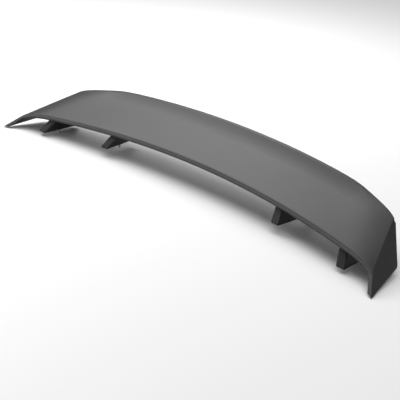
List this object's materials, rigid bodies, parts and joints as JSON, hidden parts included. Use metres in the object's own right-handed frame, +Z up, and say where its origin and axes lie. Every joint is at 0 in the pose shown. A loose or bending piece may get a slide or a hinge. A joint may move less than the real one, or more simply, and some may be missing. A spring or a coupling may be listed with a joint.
{
  "type": "car rear wing",
  "caption": "Bowed boot-lid wing with a concave blade, raised trailing lip, turned-down end plates and raked legs whose studs bolt it to the lid.",
  "frame": {"origin": "midway between the two inner studs, level with the underside of the inner feet", "axes": "+X to the right-hand end across the car, +Y rearward to the trailing lip, +Z up"},
  "size_m": [1.3, 0.3187, 0.1549],
  "materials": {
    "wing_abs": "matte moulded",
    "panel_abs": "fine grained",
    "leg_abs": "matte moulded",
    "gasket_foam": "closed-cell foam",
    "zinc_steel": "zinc plated",
    "insert_brass": "turned"
  },
  "bodies": {
    "root": {"wing_skin": "wing_abs", "under_panel": "panel_abs", "end_cover_left": "panel_abs", "end_cover_right": "panel_abs", "inner_leg_left": "leg_abs", "inner_gasket_left": "gasket_foam", "inner_insert_left": "insert_brass", "inner_stud_left": "zinc_steel", "inner_screws_left": "zinc_steel", "inner_leg_right": "leg_abs", "inner_gasket_right": "gasket_foam", "inner_insert_right": "insert_brass", "inner_stud_right": "zinc_steel", "inner_screws_right": "zinc_steel", "outer_leg_left": "leg_abs", "outer_gasket_left": "gasket_foam", "outer_insert_left": "insert_brass", "outer_stud_left": "zinc_steel", "outer_screws_left": "zinc_steel", "outer_leg_right": "leg_abs", "outer_gasket_right": "gasket_foam", "outer_insert_right": "insert_brass", "outer_stud_right": "zinc_steel", "outer_screws_right": "zinc_steel"}
  },
  "joints": []
}
